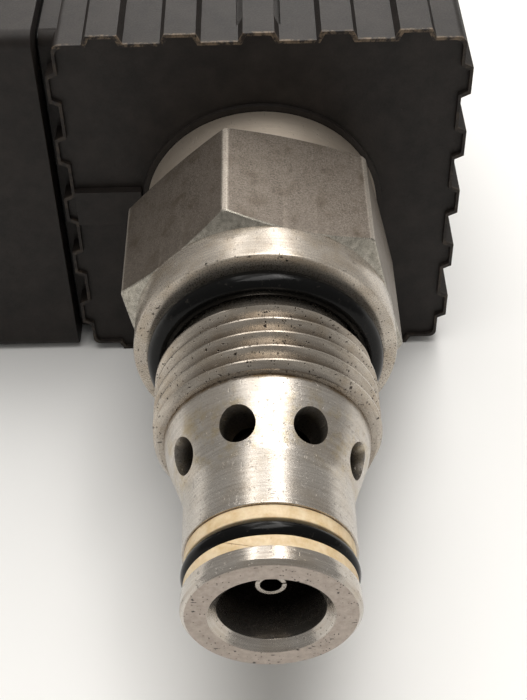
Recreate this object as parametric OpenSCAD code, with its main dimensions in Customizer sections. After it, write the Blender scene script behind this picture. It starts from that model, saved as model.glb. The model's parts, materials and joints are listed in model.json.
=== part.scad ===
// Screw-in solenoid cartridge valve, two-way poppet, with a ribbed coil and a terminal box.
// Lengths along the valve are measured from the flat end of the nose, as "s", in millimetres.
// The finished frame has its origin on the valve axis in the plane of the seat face,
// +Y along the axis from the nose to the coil, and +Z up from the side that the coil lies on.

/* [Cavity side] */
// Nose end to the seat face under the flange
seat_s = 31.75; // [31.6:0.05:31.9]
// Radius of the nose that fits the lower cavity bore
nose_r = 7.9; // [7.85:0.01:7.95]
// Radius of the open bore in the nose
nose_bore_r = 4.76; // [4.6:0.01:4.9]
// Start of the seal groove in the nose
groove_s0 = 1.77; // [1.6:0.01:1.9]
// End of the seal groove in the nose
groove_s1 = 6.24; // [6.2:0.01:6.4]
// Radius of the seal groove's floor
groove_r = 6.3; // [6.25:0.01:6.35]
// Number of side holes round the cage
port_count = 8; // [4:1:8]
// Radius of each side hole
port_r = 1.72; // [1.5:0.05:1.9]
// Side hole centres from the nose end
port_s = 14.9; // [14.7:0.05:15.3]
// Angle of the first side hole from the top, clockwise seen from the nose
port_turn = 4.4; // [0:0.1:22.5]
// Radius of the cage where its cone ends, above the side holes
cone_end_r = 9.6; // [9.2:0.05:9.8]
// Where the cage meets the threaded body
joint_s = 19.3; // [19.2:0.05:19.4]

/* [Thread and hex] */
// Outside radius of the thread (7/8 inch)
thread_r = 11.11; // [11.0:0.01:11.2]
// Thread pitch (14 to the inch)
thread_pitch = 1.814; // [1.75:0.002:1.85]
// Number of full thread crests
thread_turns = 5; // [4:1:5]
// Radius of the undercut behind the thread
undercut_r = 9.6; // [9.5:0.05:9.8]
// Radius of the round flange that seats on the manifold
flange_r = 13.55; // [13.45:0.05:13.7]
// Hexagon size across its flats
hex_af = 26.8; // [26.5:0.05:27]
// Turn of the hexagon's first corner from the top
hex_turn = -14.1; // [-30:0.1:30]
// Start of the hexagon
hex_s0 = 35.9; // [35.8:0.05:36.4]
// End of the hexagon
hex_s1 = 51.1; // [50.5:0.05:51.3]
// Height of the hexagon's chamfer towards the coil, at its corners
hex_top_chamfer = 0.65; // [0.3:0.05:1]
// Radius of the round collar above the hexagon
collar_r = 13.2; // [12.8:0.05:13.4]
// End of the collar, where the coil sits
collar_s = 56.0; // [55.9:0.05:56.1]

/* [Solenoid] */
// Outside radius of the core tube
tube_r = 8.1; // [8.08:0.01:8.12]
// Wall of the core tube
tube_wall = 0.75; // [0.7:0.01:0.8]
// Travel of the armature
armature_stroke = 1.6; // [1.2:0.05:1.8]
// Travel of the main poppet
poppet_lift = 1.6; // [1.2:0.05:1.6]
// Length of the coil along the axis
coil_len = 50; // [50:0.1:51]
// Half width of the coil between its ribs
coil_half = 21.8; // [21.5:0.05:22]
// Number of ribs on each side of the coil
rib_count = 5; // [3:2:5]
// Distance from rib to rib
rib_pitch = 8.2; // [7.8:0.05:8.4]
// Width of a rib's flat top
rib_top = 3.3; // [2.8:0.05:3.6]
// How far a rib stands out
rib_height = 1.0; // [0.6:0.05:1.2]
// Depth of the shallow recess in the coil's underside
recess_depth = 0.45; // [0.2:0.05:0.6]
// Width of the lip round that recess
lip_w = 0.35; // [0.25:0.05:0.5]

/* [Terminal box] */
// Inner face of the box, measured from the valve axis
box_x = 23.8; // [23.6:0.05:24]
// Depth of the box with its lid
box_depth = 22; // [22:0.1:24]
// Wall of the box
box_wall = 2.5; // [2.2:0.1:2.6]
// Thickness of the lid
lid_t = 3; // [2.8:0.1:3.2]
// Corner radius of the box
box_corner = 1.6; // [1.2:0.1:2]
// Radius of the cable entry's thread (M16, minor)
entry_r = 7.2; // [7.0:0.01:7.3]

/* [Hidden] */
$fn = 96;

gap = 0.05;              // radial clearance of parts that slide or slip together
hair = 0.01;             // clearance of parts that seat on each other
eps = 0.02;              // overrun of cutting tools past a face

// cage and main poppet
nose_flat_r = 7.5;
nose_chamfer_s = 0.46;
mouth_r = 5.6;
mouth_s = 0.87;
nose_end_s = 12.4;
cone_end_s = 17.3;
cage_rim_r = 10.0;
spigot_r = 7.65;
spigot_s = 29.9;
poppet_bore_r = 5.95;
valve_seat_s = 11.9;
pocket_r = 4.3;
pocket_s = 20;
poppet_top_s = 27.5;
pilot_r = 0.5;
nozzle_r = 1.4;
nozzle_bore_r = 0.95;
nozzle_s = 3.3;
nozzle_len = 12.6;
ring_sink = 0.18;        // backup rings lie this far below the nose's surface
pilot_socket_r = 1.3;    // the pin's tip slides into this socket and shuts the pilot
pilot_socket_s = 16.6;

// adapter
body_bore_r = spigot_r + gap;
thread_root_r = thread_r - 0.613 * thread_pitch;
thread_s0 = 19.95;
thread_start_r = 10.5;
thread_end_s = 28.0;
o_ring_floor_s = seat_s + 0.15;
o_ring_recess_r = 12.2;
corner_r = hex_af / 2 / cos(30);
chamfer_slope = 0.556;   // axial rise of the hexagon's chamfer over its radial width
top_slope = hex_top_chamfer / (corner_r - hex_af / 2);   // the same for its chamfer towards the coil
stop_s = 30;
pole_r = 7.1;
pole_bore_r = pole_r + gap;
tube_s0 = 44;
tube_bore_r = tube_r + gap;
tube_groove_r = 9.45;
tube_groove_s = [47, 49];

// core tube and armature
pole_s = [30.2, 72];
spring_well_r = 4.6;
spring_well_s = 62;
pin_r = 1.25;
armature_r = 7.0;
armature_s0 = pole_s[1] + armature_stroke + eps;
armature_s1 = 100.15;
pin_top_s = 85;
pin_tip_s = pocket_s + 0.15;
plug_s = [100.2, 102, 104, 115];
stud_r = 5;

// coil
coil_s0 = collar_s;
coil_s1 = coil_s0 + coil_len;
coil_bore_r = tube_r + 0.15;
end_wall = 2.5;
washer_t = 3;
sleeve_r = [16.9, 18.9];
bobbin_r = 9.5;
bobbin_flange_r = 16.8;
bobbin_flange_t = 1.5;
winding_r = 16;
seal_pocket_r = 10.5;
nut_s = [coil_s1 + 1.2, coil_s1 + 9.2];
rib_flank = 0.5;
key_bar = [[-21.4, -13.8], [-1.9, 2.8], 0.5];   // X span, Z span and height of the raised bar
collar_land_r = collar_r + 0.6;                 // the underside stays flat where the collar touches it
clip_slot = [0.7, 12, 0.9];                     // width, length and depth of the slots by the middle rib
clip_s = coil_s0 + 3.3;

// terminal box, in the finished frame: Y runs along the valve
box_half_z = coil_half + rib_height;
box_y = [coil_s0 + 0.3 - seat_s, coil_s1 - seat_s];
box_mid_y = (box_y[0] + box_y[1]) / 2;
box_len_y = box_y[1] - box_y[0];
gasket_t = 0.8;
neck_t = box_x - coil_half - gasket_t / 2;
neck_size = [45.4, 43.2];
neck_corner = 1.5;
box_open_x = -(box_x + box_depth - lid_t - gasket_t);
box_back_x = -(box_x + box_wall);
lid_screw_r = 2;
lid_boss_r = 3.4;
lid_boss_inset = 4.6;
box_screw_y = [-13, 13];
lead_hole_r = 3.2;
block_size = [9, 26, 13];
earth_place = [-14, 11];
terminal_y = [-6, 6];
entry_boss_r = 8.1;
entry_boss_len = 4;
entry_x = -(box_x + box_wall + entry_boss_r);

// ---------- placing ----------
// lays a piece that stands on the nose down along +Y, with the seat face in the XZ plane
module lay() {
  rotate([-90, 0, 0])
    translate([0, 0, -seat_s])
      children();
}

// turns a piece about the valve axis, by an angle from the top, clockwise seen from the nose
module clock(angle) {
  rotate([0, 0, angle - 90])
    children();
}

// sweeps a shape drawn in Y and Z along +X
module along_x(x0, length) {
  translate([x0, 0, 0])
    rotate([90, 0, 90])
      linear_extrude(length)
        children();
}

// round piece with its axis along X, from x0 towards +X
module rod_x(x0, length, r) {
  translate([x0, 0, 0])
    rotate([0, 90, 0])
      cylinder(r = r, h = length);
}

module ring(r_in, r_out, s0, s1) {
  rotate_extrude()
    translate([r_in, s0])
      square([r_out - r_in, s1 - s0]);
}

module o_ring(section_r, inside_r, mid_s) {
  rotate_extrude()
    translate([inside_r + section_r, mid_s])
      circle(r = section_r, $fn = 32);
}

module rounded_rect(size, r) {
  square([size[0] - 2 * r, size[1]], center = true);
  square([size[0], size[1] - 2 * r], center = true);
  for (i = [-1, 1])
    for (j = [-1, 1])
      translate([i * (size[0] / 2 - r), j * (size[1] / 2 - r)])
        circle(r = r, $fn = 48);
}

// round wire wound as a compression spring, standing on z = 0
module spring(outside_r, wire_r, height, turns) {
  sides = 10;
  steps = turns * 20;
  mid_r = outside_r - wire_r;
  rise = height - 2 * wire_r;
  points = [
    for (i = [0 : steps])
      for (j = [0 : sides - 1])
        let (a = 360 * turns * i / steps, t = 360 * j / sides, r = mid_r + wire_r * cos(t))
          [r * cos(a), r * sin(a), wire_r + rise * i / steps + wire_r * sin(t)]
  ];
  skin = [
    for (i = [0 : steps - 1])
      for (j = [0 : sides - 1])
        let (k = (j + 1) % sides)
          [i * sides + j, i * sides + k, (i + 1) * sides + k, (i + 1) * sides + j]
  ];
  start_cap = [for (j = [sides - 1 : -1 : 0]) j];
  end_cap = [for (j = [0 : sides - 1]) steps * sides + j];
  polyhedron(points = points, faces = concat(skin, [start_cap, end_cap]));
}

// pan head screw along +X from its head: the head's flat is at x0
module screw_x(x0, head_r, head_t, shank_r, shank_len) {
  difference() {
    rod_x(x0, head_t, head_r);
    for (turn = [0, 90])
      rotate([turn, 0, 0])
        translate([x0 - eps, -head_r * 0.55, -head_r * 0.1])
          cube([head_t * 0.6, head_r * 1.1, head_r * 0.2]);
  }
  rod_x(x0 + head_t, shank_len, shank_r);
}

// ---------- cage and its seals ----------
module cage() {
  color([0.68, 0.65, 0.60])
    lay()
      difference() {
        rotate_extrude()
          polygon([
            [mouth_r, 0], [nose_flat_r, 0], [nose_r, nose_chamfer_s],
            [nose_r, groove_s0], [groove_r, groove_s0], [groove_r, groove_s1], [nose_r, groove_s1],
            [nose_r, nose_end_s], [cone_end_r, cone_end_s], [cage_rim_r, joint_s],
            [spigot_r, joint_s], [spigot_r, spigot_s], [poppet_bore_r, spigot_s],
            [poppet_bore_r, valve_seat_s], [nose_bore_r, valve_seat_s], [nose_bore_r, mouth_s]
          ]);
        for (i = [0 : port_count - 1])
          clock(port_turn + (i + 0.5) * 360 / port_count)
            translate([poppet_bore_r - 1, 0, port_s])
              rotate([0, 90, 0])
                cylinder(r = port_r, h = cage_rim_r);
      }
}

// flat ring with a slanted cut, so that it springs over the nose into the groove
module backup_ring(s0, s1, cut_turn) {
  color([0.86, 0.77, 0.58])
    lay()
      difference() {
        ring(groove_r + eps, nose_r - ring_sink, s0 + hair, s1 - hair);
        clock(cut_turn)
          translate([groove_r - 1, 0, (s0 + s1) / 2])
            rotate([50, 0, 0])
              translate([0, -0.06, -3])
                cube([4, 0.12, 6]);
      }
}

module lower_backup_ring() {
  backup_ring(groove_s0, 3.09, -20);
}

module upper_backup_ring() {
  backup_ring(4.75, groove_s1, 150);
}

module nose_o_ring() {
  color([0.08, 0.08, 0.08])
    lay()
      o_ring(0.81, groove_r + eps, 3.92);
}

// ---------- threaded hex body ----------
// one pitch of the thread for each crest, with a flat crest and a flat root
function thread_profile() = [
  for (i = [0 : thread_turns - 1])
    let (s = thread_s0 + i * thread_pitch)
      each [
        [thread_r, s], [thread_r, s + thread_pitch * 0.18],
        [thread_root_r, s + thread_pitch * 0.5], [thread_root_r, s + thread_pitch * 0.68]
      ]
];

module hex_adapter() {
  thread_top = thread_s0 + thread_turns * thread_pitch - thread_pitch * 0.32;
  color([0.45, 0.42, 0.38])
    lay()
      difference() {
        union() {
          rotate_extrude()
            polygon(concat(
              [[0, joint_s], [thread_start_r, joint_s]],
              thread_profile(),
              [[undercut_r, thread_top + 0.3], [undercut_r, o_ring_floor_s],
               [o_ring_recess_r, o_ring_floor_s], [o_ring_recess_r, seat_s],
               [flange_r - 0.15, seat_s], [flange_r, seat_s + 0.15], [flange_r, hex_s0],
               [0, hex_s0]]
            ));
          intersection() {
            clock(hex_turn)
              translate([0, 0, hex_s0 - 1])
                cylinder(r = corner_r, h = hex_s1 - hex_s0 + 1, $fn = 6);
            rotate_extrude()
              polygon([
                [0, hex_s0 - 1], [flange_r - 1, hex_s0 - 1], [flange_r, hex_s0],
                [corner_r + 0.5, hex_s0 + (corner_r + 0.5 - flange_r) * chamfer_slope],
                [corner_r + 0.5, hex_s1 - hex_top_chamfer - 0.5 * top_slope],
                [hex_af / 2 + 0.1, hex_s1 - 0.1 * top_slope], [hex_af / 2 - 0.05, hex_s1], [0, hex_s1]
              ]);
          }
          rotate_extrude()
            polygon([
              [0, hex_s1 - 1], [collar_r, hex_s1 - 1], [collar_r, collar_s - 0.25],
              [collar_r - 0.25, collar_s], [0, collar_s]
            ]);
        }
        rotate_extrude()
          polygon([
            [0, joint_s - 1], [body_bore_r, joint_s - 1], [body_bore_r, stop_s], [pole_bore_r, stop_s],
            [pole_bore_r, tube_s0], [tube_bore_r, tube_s0], [tube_bore_r, tube_groove_s[0]],
            [tube_groove_r, tube_groove_s[0]], [tube_groove_r, tube_groove_s[1]],
            [tube_bore_r, tube_groove_s[1]], [tube_bore_r, collar_s + 1], [0, collar_s + 1]
          ]);
      }
}

module seat_o_ring() {
  section_r = 1.23;
  color([0.06, 0.06, 0.06])
    lay()
      o_ring(section_r, undercut_r + hair, o_ring_floor_s - section_r - hair);
}

// ---------- core tube, pole piece and end plug ----------
module core_tube() {
  color([0.62, 0.62, 0.62])
    lay()
      ring(tube_r - tube_wall, tube_r, tube_s0, plug_s[1]);
}

module tube_o_ring() {
  section_r = (tube_groove_r - tube_r) / 2 - hair;
  color([0.06, 0.06, 0.06])
    lay()
      o_ring(section_r, tube_r + hair, (tube_groove_s[0] + tube_groove_s[1]) / 2);
}

module pole_piece() {
  color([0.5, 0.5, 0.52])
    lay()
      rotate_extrude()
        polygon([
          [pin_r + 0.1, pole_s[0]], [pole_r, pole_s[0]], [pole_r, pole_s[1]],
          [spring_well_r, pole_s[1]], [spring_well_r, spring_well_s], [pin_r + 0.1, spring_well_s]
        ]);
}

module tube_plug() {
  thread_h = 0.5;
  color([0.6, 0.6, 0.6])
    lay() {
      ring(0, tube_r - tube_wall - gap, plug_s[0], plug_s[1]);
      ring(0, tube_r, plug_s[1], plug_s[2]);
      rotate_extrude()
        polygon([
          [0, plug_s[2] - hair], [stud_r - thread_h, plug_s[2] - hair],
          for (s = [plug_s[2] + 2 : 1.25 : plug_s[3] - 2])
            each [
              [stud_r - thread_h, s], [stud_r, s + 0.4], [stud_r, s + 0.6], [stud_r - thread_h, s + 1]
            ],
          [stud_r - thread_h, plug_s[3] - 0.4], [stud_r - 0.9, plug_s[3]], [0, plug_s[3]]
        ]);
    }
}

module coil_o_ring() {
  section_r = 1.05;
  color([0.06, 0.06, 0.06])
    lay()
      o_ring(section_r, tube_r + hair, coil_s0 + section_r + hair);
}

module coil_nut() {
  nut_af = 19;
  flange_t = 2;
  color([0.66, 0.64, 0.58])
    lay()
      difference() {
        union() {
          ring(0, 11, nut_s[0], nut_s[0] + flange_t);
          intersection() {
            translate([0, 0, nut_s[0] + 1])
              cylinder(r = nut_af / 2 / cos(30), h = nut_s[1] - nut_s[0] - 1, $fn = 6);
            rotate_extrude()
              polygon([
                [0, nut_s[0]], [nut_af / 2 + 2, nut_s[0]], [nut_af / 2 + 2, nut_s[1] - 1.4],
                [nut_af / 2 - 0.2, nut_s[1]], [0, nut_s[1]]
              ]);
          }
        }
        ring(0, stud_r + gap, nut_s[0] - 1, nut_s[1] + 1);
      }
}

module nut_o_ring() {
  section_r = 0.59;
  color([0.06, 0.06, 0.06])
    lay()
      o_ring(section_r, 9.2, (coil_s1 + nut_s[0]) / 2);
}

// ---------- main poppet ----------
module main_poppet() {
  seat_touch_r = nose_bore_r - hair;
  guide_r = poppet_bore_r - gap;
  nose_r0 = 3.9;
  stem_r = 5.0;
  tip_s = valve_seat_s - (seat_touch_r - nose_r0);
  color([0.55, 0.54, 0.52])
    lay()
      rotate_extrude()
        polygon([
          [nozzle_r + hair, tip_s], [nose_r0, tip_s], [stem_r, tip_s + stem_r - nose_r0],
          [stem_r, 18], [guide_r, 18.6], [guide_r, 21.4], [guide_r - 0.4, 21.6], [guide_r - 0.4, 22.2],
          [guide_r, 22.4], [guide_r, 24.4], [guide_r - 0.4, 24.6], [guide_r - 0.4, 25.2],
          [guide_r, 25.4], [guide_r, poppet_top_s], [pocket_r, poppet_top_s],
          [pocket_r, pocket_s], [pilot_socket_r, pocket_s], [pilot_socket_r, pilot_socket_s],
          [pilot_r, pilot_socket_s], [pilot_r, nozzle_s + nozzle_len + gap],
          [nozzle_r + hair, nozzle_s + nozzle_len + gap]
        ]);
}

// rolled tube pressed into the poppet, with the slit that rolling leaves
module poppet_nozzle() {
  slit_w = 0.16;
  color([0.80, 0.78, 0.72])
    lay()
      difference() {
        ring(nozzle_bore_r, nozzle_r, nozzle_s, nozzle_s + nozzle_len);
        clock(80)
          translate([0, -slit_w / 2, nozzle_s - 1])
            cube([3, slit_w, nozzle_len + 2]);
      }
}

module main_spring() {
  color([0.7, 0.7, 0.7])
    lay()
      translate([0, 0, pocket_s + eps])
        spring(3.9, 0.35, pole_s[0] - pocket_s - 2 * eps, 6);
}

// ---------- armature ----------
module armature() {
  vent_w = 1.6;
  color([0.5, 0.5, 0.52])
    lay()
      difference() {
        ring(0, armature_r, armature_s0, armature_s1);
        ring(0, pin_r + hair, armature_s0 - 1, pin_top_s + gap);
        for (side = [-1, 1])
          translate([side * armature_r - 0.9, -vent_w / 2, armature_s0 - 1])
            cube([1.8, vent_w, armature_s1 - armature_s0 + 2]);
      }
}

module push_pin() {
  color([0.75, 0.75, 0.75])
    lay()
      rotate_extrude()
        polygon([
          [0, pin_tip_s], [pin_r - 0.3, pin_tip_s], [pin_r, pin_tip_s + 0.3], [pin_r, pin_top_s],
          [0, pin_top_s]
        ]);
}

module armature_spring() {
  color([0.7, 0.7, 0.7])
    lay()
      translate([0, 0, spring_well_s + eps])
        spring(4.4, 0.5, armature_s0 - spring_well_s - 2 * eps, 6);
}

// ---------- coil ----------
module coil_rib(inset) {
  half = rib_top / 2 - inset;
  polygon([
    [-half - rib_flank, -1], [half + rib_flank, -1], [half + rib_flank, 0],
    [half, rib_height], [-half, rib_height], [-half - rib_flank, 0]
  ]);
}

// outline of the coil across the valve, drawn in by inset all round
module coil_section(inset) {
  rounded_rect([2 * (coil_half - inset), 2 * (coil_half - inset)], 0.9);
  for (side = [0 : 90 : 270])
    rotate([0, 0, side])
      for (i = [0 : rib_count - 1])
        translate([(i - (rib_count - 1) / 2) * rib_pitch, coil_half - inset])
          coil_rib(inset);
}

module coil_recess() {
  lay()
    difference() {
      translate([0, 0, coil_s0 - 1])
        linear_extrude(recess_depth + 1)
          coil_section(lip_w);
      ring(0, collar_land_r, coil_s0 - 2, coil_s0 + 1);
    }
}

module coil_housing() {
  color([0.16, 0.14, 0.13])
    difference() {
      union() {
        difference() {
          lay()
            translate([0, 0, coil_s0])
              linear_extrude(coil_len)
                coil_section(0);
          coil_recess();
        }
        translate([0, box_mid_y, 0])
          along_x(-coil_half - neck_t, neck_t + 3)
            rounded_rect(neck_size, neck_corner);
        translate([key_bar[0][0], coil_s0 - key_bar[2] - seat_s, key_bar[1][0]])
          cube([key_bar[0][1] - key_bar[0][0], key_bar[2] + 1, key_bar[1][1] - key_bar[1][0]]);
      }
      lay() {
        ring(0, coil_bore_r, coil_s0 - 1, coil_s1 + 1);
        ring(0, seal_pocket_r, coil_s0 - 1, coil_s0 + end_wall);
        ring(0, sleeve_r[1] + gap, coil_s0 + end_wall, coil_s1 - end_wall);
      }
      translate([0, box_mid_y, 0]) {
        rod_x(-coil_half - neck_t - 1, 8, lead_hole_r);
        for (y = box_screw_y)
          translate([0, y, 0])
            rod_x(-coil_half - neck_t - 1, 3.3, 1.55);
      }
      for (side = [-1, 1])
        translate([side * (rib_top + clip_slot[0]) / 2 - clip_slot[0] / 2, clip_s - seat_s,
                   coil_half - clip_slot[2]])
          cube([clip_slot[0], clip_slot[1], clip_slot[2] + 2]);
    }
}

module lower_flux_washer() {
  color([0.5, 0.5, 0.5])
    lay()
      ring(coil_bore_r + 0.2, sleeve_r[1], coil_s0 + end_wall + hair, coil_s0 + end_wall + washer_t);
}

module upper_flux_washer() {
  color([0.5, 0.5, 0.5])
    lay()
      ring(coil_bore_r + 0.2, sleeve_r[1], coil_s1 - end_wall - washer_t, coil_s1 - end_wall - hair);
}

module flux_sleeve() {
  color([0.45, 0.45, 0.46])
    difference() {
      lay()
        ring(sleeve_r[0], sleeve_r[1], coil_s0 + end_wall + washer_t, coil_s1 - end_wall - washer_t);
      translate([0, box_mid_y, 0])
        rod_x(-sleeve_r[1] - 1, 4, lead_hole_r);
    }
}

bobbin_s = [coil_s0 + end_wall + washer_t + 0.1, coil_s1 - end_wall - washer_t - 0.1];

module bobbin() {
  color([0.25, 0.22, 0.18])
    lay() {
      ring(coil_bore_r, bobbin_r, bobbin_s[0], bobbin_s[1]);
      ring(bobbin_r - hair, bobbin_flange_r, bobbin_s[0], bobbin_s[0] + bobbin_flange_t);
      ring(bobbin_r - hair, bobbin_flange_r, bobbin_s[1] - bobbin_flange_t, bobbin_s[1]);
    }
}

module winding() {
  color([0.62, 0.34, 0.14])
    lay()
      ring(bobbin_r + hair, winding_r, bobbin_s[0] + bobbin_flange_t + hair,
           bobbin_s[1] - bobbin_flange_t - hair);
}

// ---------- terminal box ----------
module box_outline(inset) {
  rounded_rect([box_len_y - 2 * inset, 2 * box_half_z - 2 * inset], box_corner);
}

module lid_screw_places() {
  for (i = [-1, 1])
    for (j = [-1, 1])
      translate([0, i * (box_len_y / 2 - lid_boss_inset), j * (box_half_z - lid_boss_inset)])
        children();
}

module neck_gasket() {
  color([0.08, 0.08, 0.08])
    translate([0, box_mid_y, 0])
      difference() {
        along_x(-box_x + hair, gasket_t / 2 - 2 * hair)
          rounded_rect([neck_size[0] - 1, neck_size[1] - 1], neck_corner);
        rod_x(-box_x - 1, 3, lead_hole_r);
        for (y = box_screw_y)
          translate([0, y, 0])
            rod_x(-box_x - 1, 3, 2);
      }
}

module terminal_box() {
  inner_len = -box_back_x;
  color([0.17, 0.15, 0.14])
    translate([0, box_mid_y, 0])
      difference() {
        union() {
          difference() {
            along_x(box_open_x, -box_open_x - box_x)
              box_outline(0);
            along_x(box_open_x - 1, 1 - box_open_x - inner_len)
              box_outline(box_wall);
          }
          lid_screw_places()
            rod_x(box_open_x, -box_open_x - inner_len + 1, lid_boss_r);
          intersection() {
            translate([entry_x, box_len_y / 2 - box_wall - entry_boss_len, 0])
              rotate([-90, 0, 0])
                cylinder(r = entry_boss_r + 1, h = entry_boss_len + 1);
            along_x(box_open_x, -box_open_x - inner_len)
              square([box_len_y - 1, 2 * entry_boss_r + 1], center = true);
          }
        }
        translate([entry_x, box_len_y / 2 - box_wall - entry_boss_len - 1, 0])
          rotate([-90, 0, 0])
            cylinder(r = entry_r, h = box_wall + entry_boss_len + 2);
        rod_x(box_back_x - 1, box_wall + 2, lead_hole_r);
        for (y = box_screw_y)
          translate([0, y, 0])
            rod_x(box_back_x - 1, box_wall + 2, 1.55);
        translate([0, earth_place[0], earth_place[1]])
          rod_x(box_back_x - 1, 2.6, 1.2 + hair);
        lid_screw_places()
          rod_x(box_open_x - 1, 10, lid_screw_r + hair);
      }
}

module box_screws() {
  color([0.7, 0.7, 0.68])
    translate([0, box_mid_y, 0])
      for (y = box_screw_y)
        translate([0, y, 0])
          screw_x(box_back_x - 2 - hair, 2.9, 2, 1.5, box_wall + gasket_t / 2 + 2);
}

module terminal_block() {
  x0 = box_back_x - block_size[0];
  color([0.75, 0.72, 0.64])
    translate([0, box_mid_y, 0])
      difference() {
        translate([x0, -block_size[1] / 2 + 4, -block_size[2] - 3.4])
          cube([block_size[0] - hair, block_size[1] - 8, block_size[2]]);
        for (y = terminal_y) {
          translate([0, y, -9.9])
            rod_x(x0 - 1, 6, 1.6);
          translate([x0 - 1, y - 2.6, -12.5])
            cube([3, 5.2, 5.2]);
        }
      }
}

module terminal_screws() {
  x0 = box_back_x - block_size[0];
  color([0.78, 0.62, 0.30])
    translate([0, box_mid_y, 0])
      for (y = terminal_y)
        translate([0, y, -9.9])
          screw_x(x0 + hair, 2.4, 2 - 2 * hair, 1.5, 2.8);
}

module earth_screw() {
  color([0.30, 0.45, 0.25])
    translate([0, box_mid_y + earth_place[0], earth_place[1]])
      screw_x(box_back_x - 2.2 - hair, 2.6, 2.2, 1.2, 1.5);
}

module coil_leads() {
  lead_x = box_back_x - 5;
  color([0.55, 0.08, 0.06])
    translate([0, box_mid_y, 0])
      for (y = [-1, 1])
        translate([0, y * 1.3, 0])
          rod_x(lead_x, -winding_r - 0.1 - lead_x, 0.7);
}

module lid_gasket() {
  color([0.08, 0.08, 0.08])
    translate([0, box_mid_y, 0])
      difference() {
        along_x(box_open_x - gasket_t + hair, gasket_t - 2 * hair)
          box_outline(0.3);
        along_x(box_open_x - gasket_t - 1, gasket_t + 2)
          square([box_len_y - 18, 2 * box_half_z - 6], center = true);
        along_x(box_open_x - gasket_t - 1, gasket_t + 2)
          square([box_len_y - 6, 2 * box_half_z - 18], center = true);
        lid_screw_places()
          rod_x(box_open_x - gasket_t - 1, gasket_t + 2, lid_screw_r + 0.2);
      }
}

module box_lid() {
  lid_x = -(box_x + box_depth);
  color([0.17, 0.15, 0.14])
    translate([0, box_mid_y, 0])
      difference() {
        along_x(lid_x, lid_t)
          box_outline(0);
        lid_screw_places() {
          rod_x(lid_x - 1, lid_t + 2, lid_screw_r + 0.1);
          rod_x(lid_x - 1, 1 + 1.4, 3.6);
        }
      }
}

module lid_screws() {
  lid_x = -(box_x + box_depth);
  color([0.7, 0.7, 0.68])
    translate([0, box_mid_y, 0])
      lid_screw_places()
        screw_x(lid_x - 0.6, 3.4, 2 - hair, lid_screw_r - hair, 10);
}

cage();
hex_adapter();
lower_backup_ring();
nose_o_ring();
upper_backup_ring();
seat_o_ring();
core_tube();
tube_o_ring();
pole_piece();
tube_plug();
coil_o_ring();
coil_nut();
nut_o_ring();
main_poppet();
poppet_nozzle();
main_spring();
armature();
push_pin();
armature_spring();
coil_housing();
bobbin();
winding();
flux_sleeve();
lower_flux_washer();
upper_flux_washer();
neck_gasket();
terminal_box();
box_screws();
terminal_block();
terminal_screws();
earth_screw();
coil_leads();
lid_gasket();
box_lid();
lid_screws();
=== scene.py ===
"""Looks of a screw-in solenoid cartridge valve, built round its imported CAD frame.

Rows of numbers in a section are (radius, distance from the nose end), both in millimetres.
Angles round the valve run from the top, clockwise as seen from the nose, in degrees.
"""

import json
import math

import bmesh
import bpy
from mathutils import Matrix, Vector, noise


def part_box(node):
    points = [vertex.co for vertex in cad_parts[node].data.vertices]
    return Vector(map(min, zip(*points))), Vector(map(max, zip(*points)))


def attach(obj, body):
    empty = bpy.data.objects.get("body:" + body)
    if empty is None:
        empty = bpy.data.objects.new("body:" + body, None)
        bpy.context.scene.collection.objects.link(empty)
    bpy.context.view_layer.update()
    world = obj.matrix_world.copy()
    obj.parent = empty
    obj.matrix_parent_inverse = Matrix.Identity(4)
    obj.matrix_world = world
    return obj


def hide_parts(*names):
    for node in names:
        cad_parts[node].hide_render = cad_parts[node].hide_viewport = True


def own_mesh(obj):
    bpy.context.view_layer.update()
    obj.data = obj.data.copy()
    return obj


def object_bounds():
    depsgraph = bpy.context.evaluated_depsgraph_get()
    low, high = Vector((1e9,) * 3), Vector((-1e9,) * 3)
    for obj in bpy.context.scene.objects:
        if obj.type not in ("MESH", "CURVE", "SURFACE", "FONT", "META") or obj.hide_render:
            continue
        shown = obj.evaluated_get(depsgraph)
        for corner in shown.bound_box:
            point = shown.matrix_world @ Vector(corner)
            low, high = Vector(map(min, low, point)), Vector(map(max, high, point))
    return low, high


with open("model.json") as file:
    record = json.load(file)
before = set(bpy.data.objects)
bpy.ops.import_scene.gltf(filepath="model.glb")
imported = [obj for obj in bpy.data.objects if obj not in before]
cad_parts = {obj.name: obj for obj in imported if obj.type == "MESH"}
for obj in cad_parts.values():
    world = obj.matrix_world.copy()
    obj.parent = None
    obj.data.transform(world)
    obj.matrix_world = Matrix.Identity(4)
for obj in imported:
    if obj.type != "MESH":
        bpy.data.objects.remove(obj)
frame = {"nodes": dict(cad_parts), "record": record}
cad_low, cad_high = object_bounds()

MM = 0.001
NOSE_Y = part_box("cage")[0].y              # the nose end in the frame
SEAT_S = -NOSE_Y / MM                     # nose end to seat face

# ---------- sizes that the looks need, in mm ----------
NOSE_R = 7.9
NOSE_FLAT_R = 7.5                         # the flat nose ends here, at its outer chamfer
NOSE_CHAMFER_S = 0.46
MOUTH_R = 5.6                             # the bore's chamfer starts here
MOUTH_CHAMFER_S = 0.87
BORE_R = 4.76
GROOVE_R = 6.3                            # floor of the groove for the nose seals
GROOVE_S = (1.77, 6.24)
SLEEVE_BORE_R = 5.95                      # the poppet slides in this
SLEEVE_R = 7.65                           # the cage's upper part, inside the threaded body
SLEEVE_S = (11.9, 29.9)
PORT_S = 14.9
PORT_R = 1.72
PORT_TURN = 4.4
PORT_COUNT = 8
CONE_S = (12.4, 17.3)                     # the cage widens between these, where its holes are
CONE_END_R = 9.6
CAGE_RIM_R = 10.0                         # the cage's width where the threaded body starts
JOINT_S = 19.3
THREAD_R = 11.11
THREAD_PITCH = 1.814
THREAD_ROOT = 10.0
THREAD_START_R = 10.5
THREAD_END_S = 28.0
UNDERCUT_R = 9.6
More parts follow.
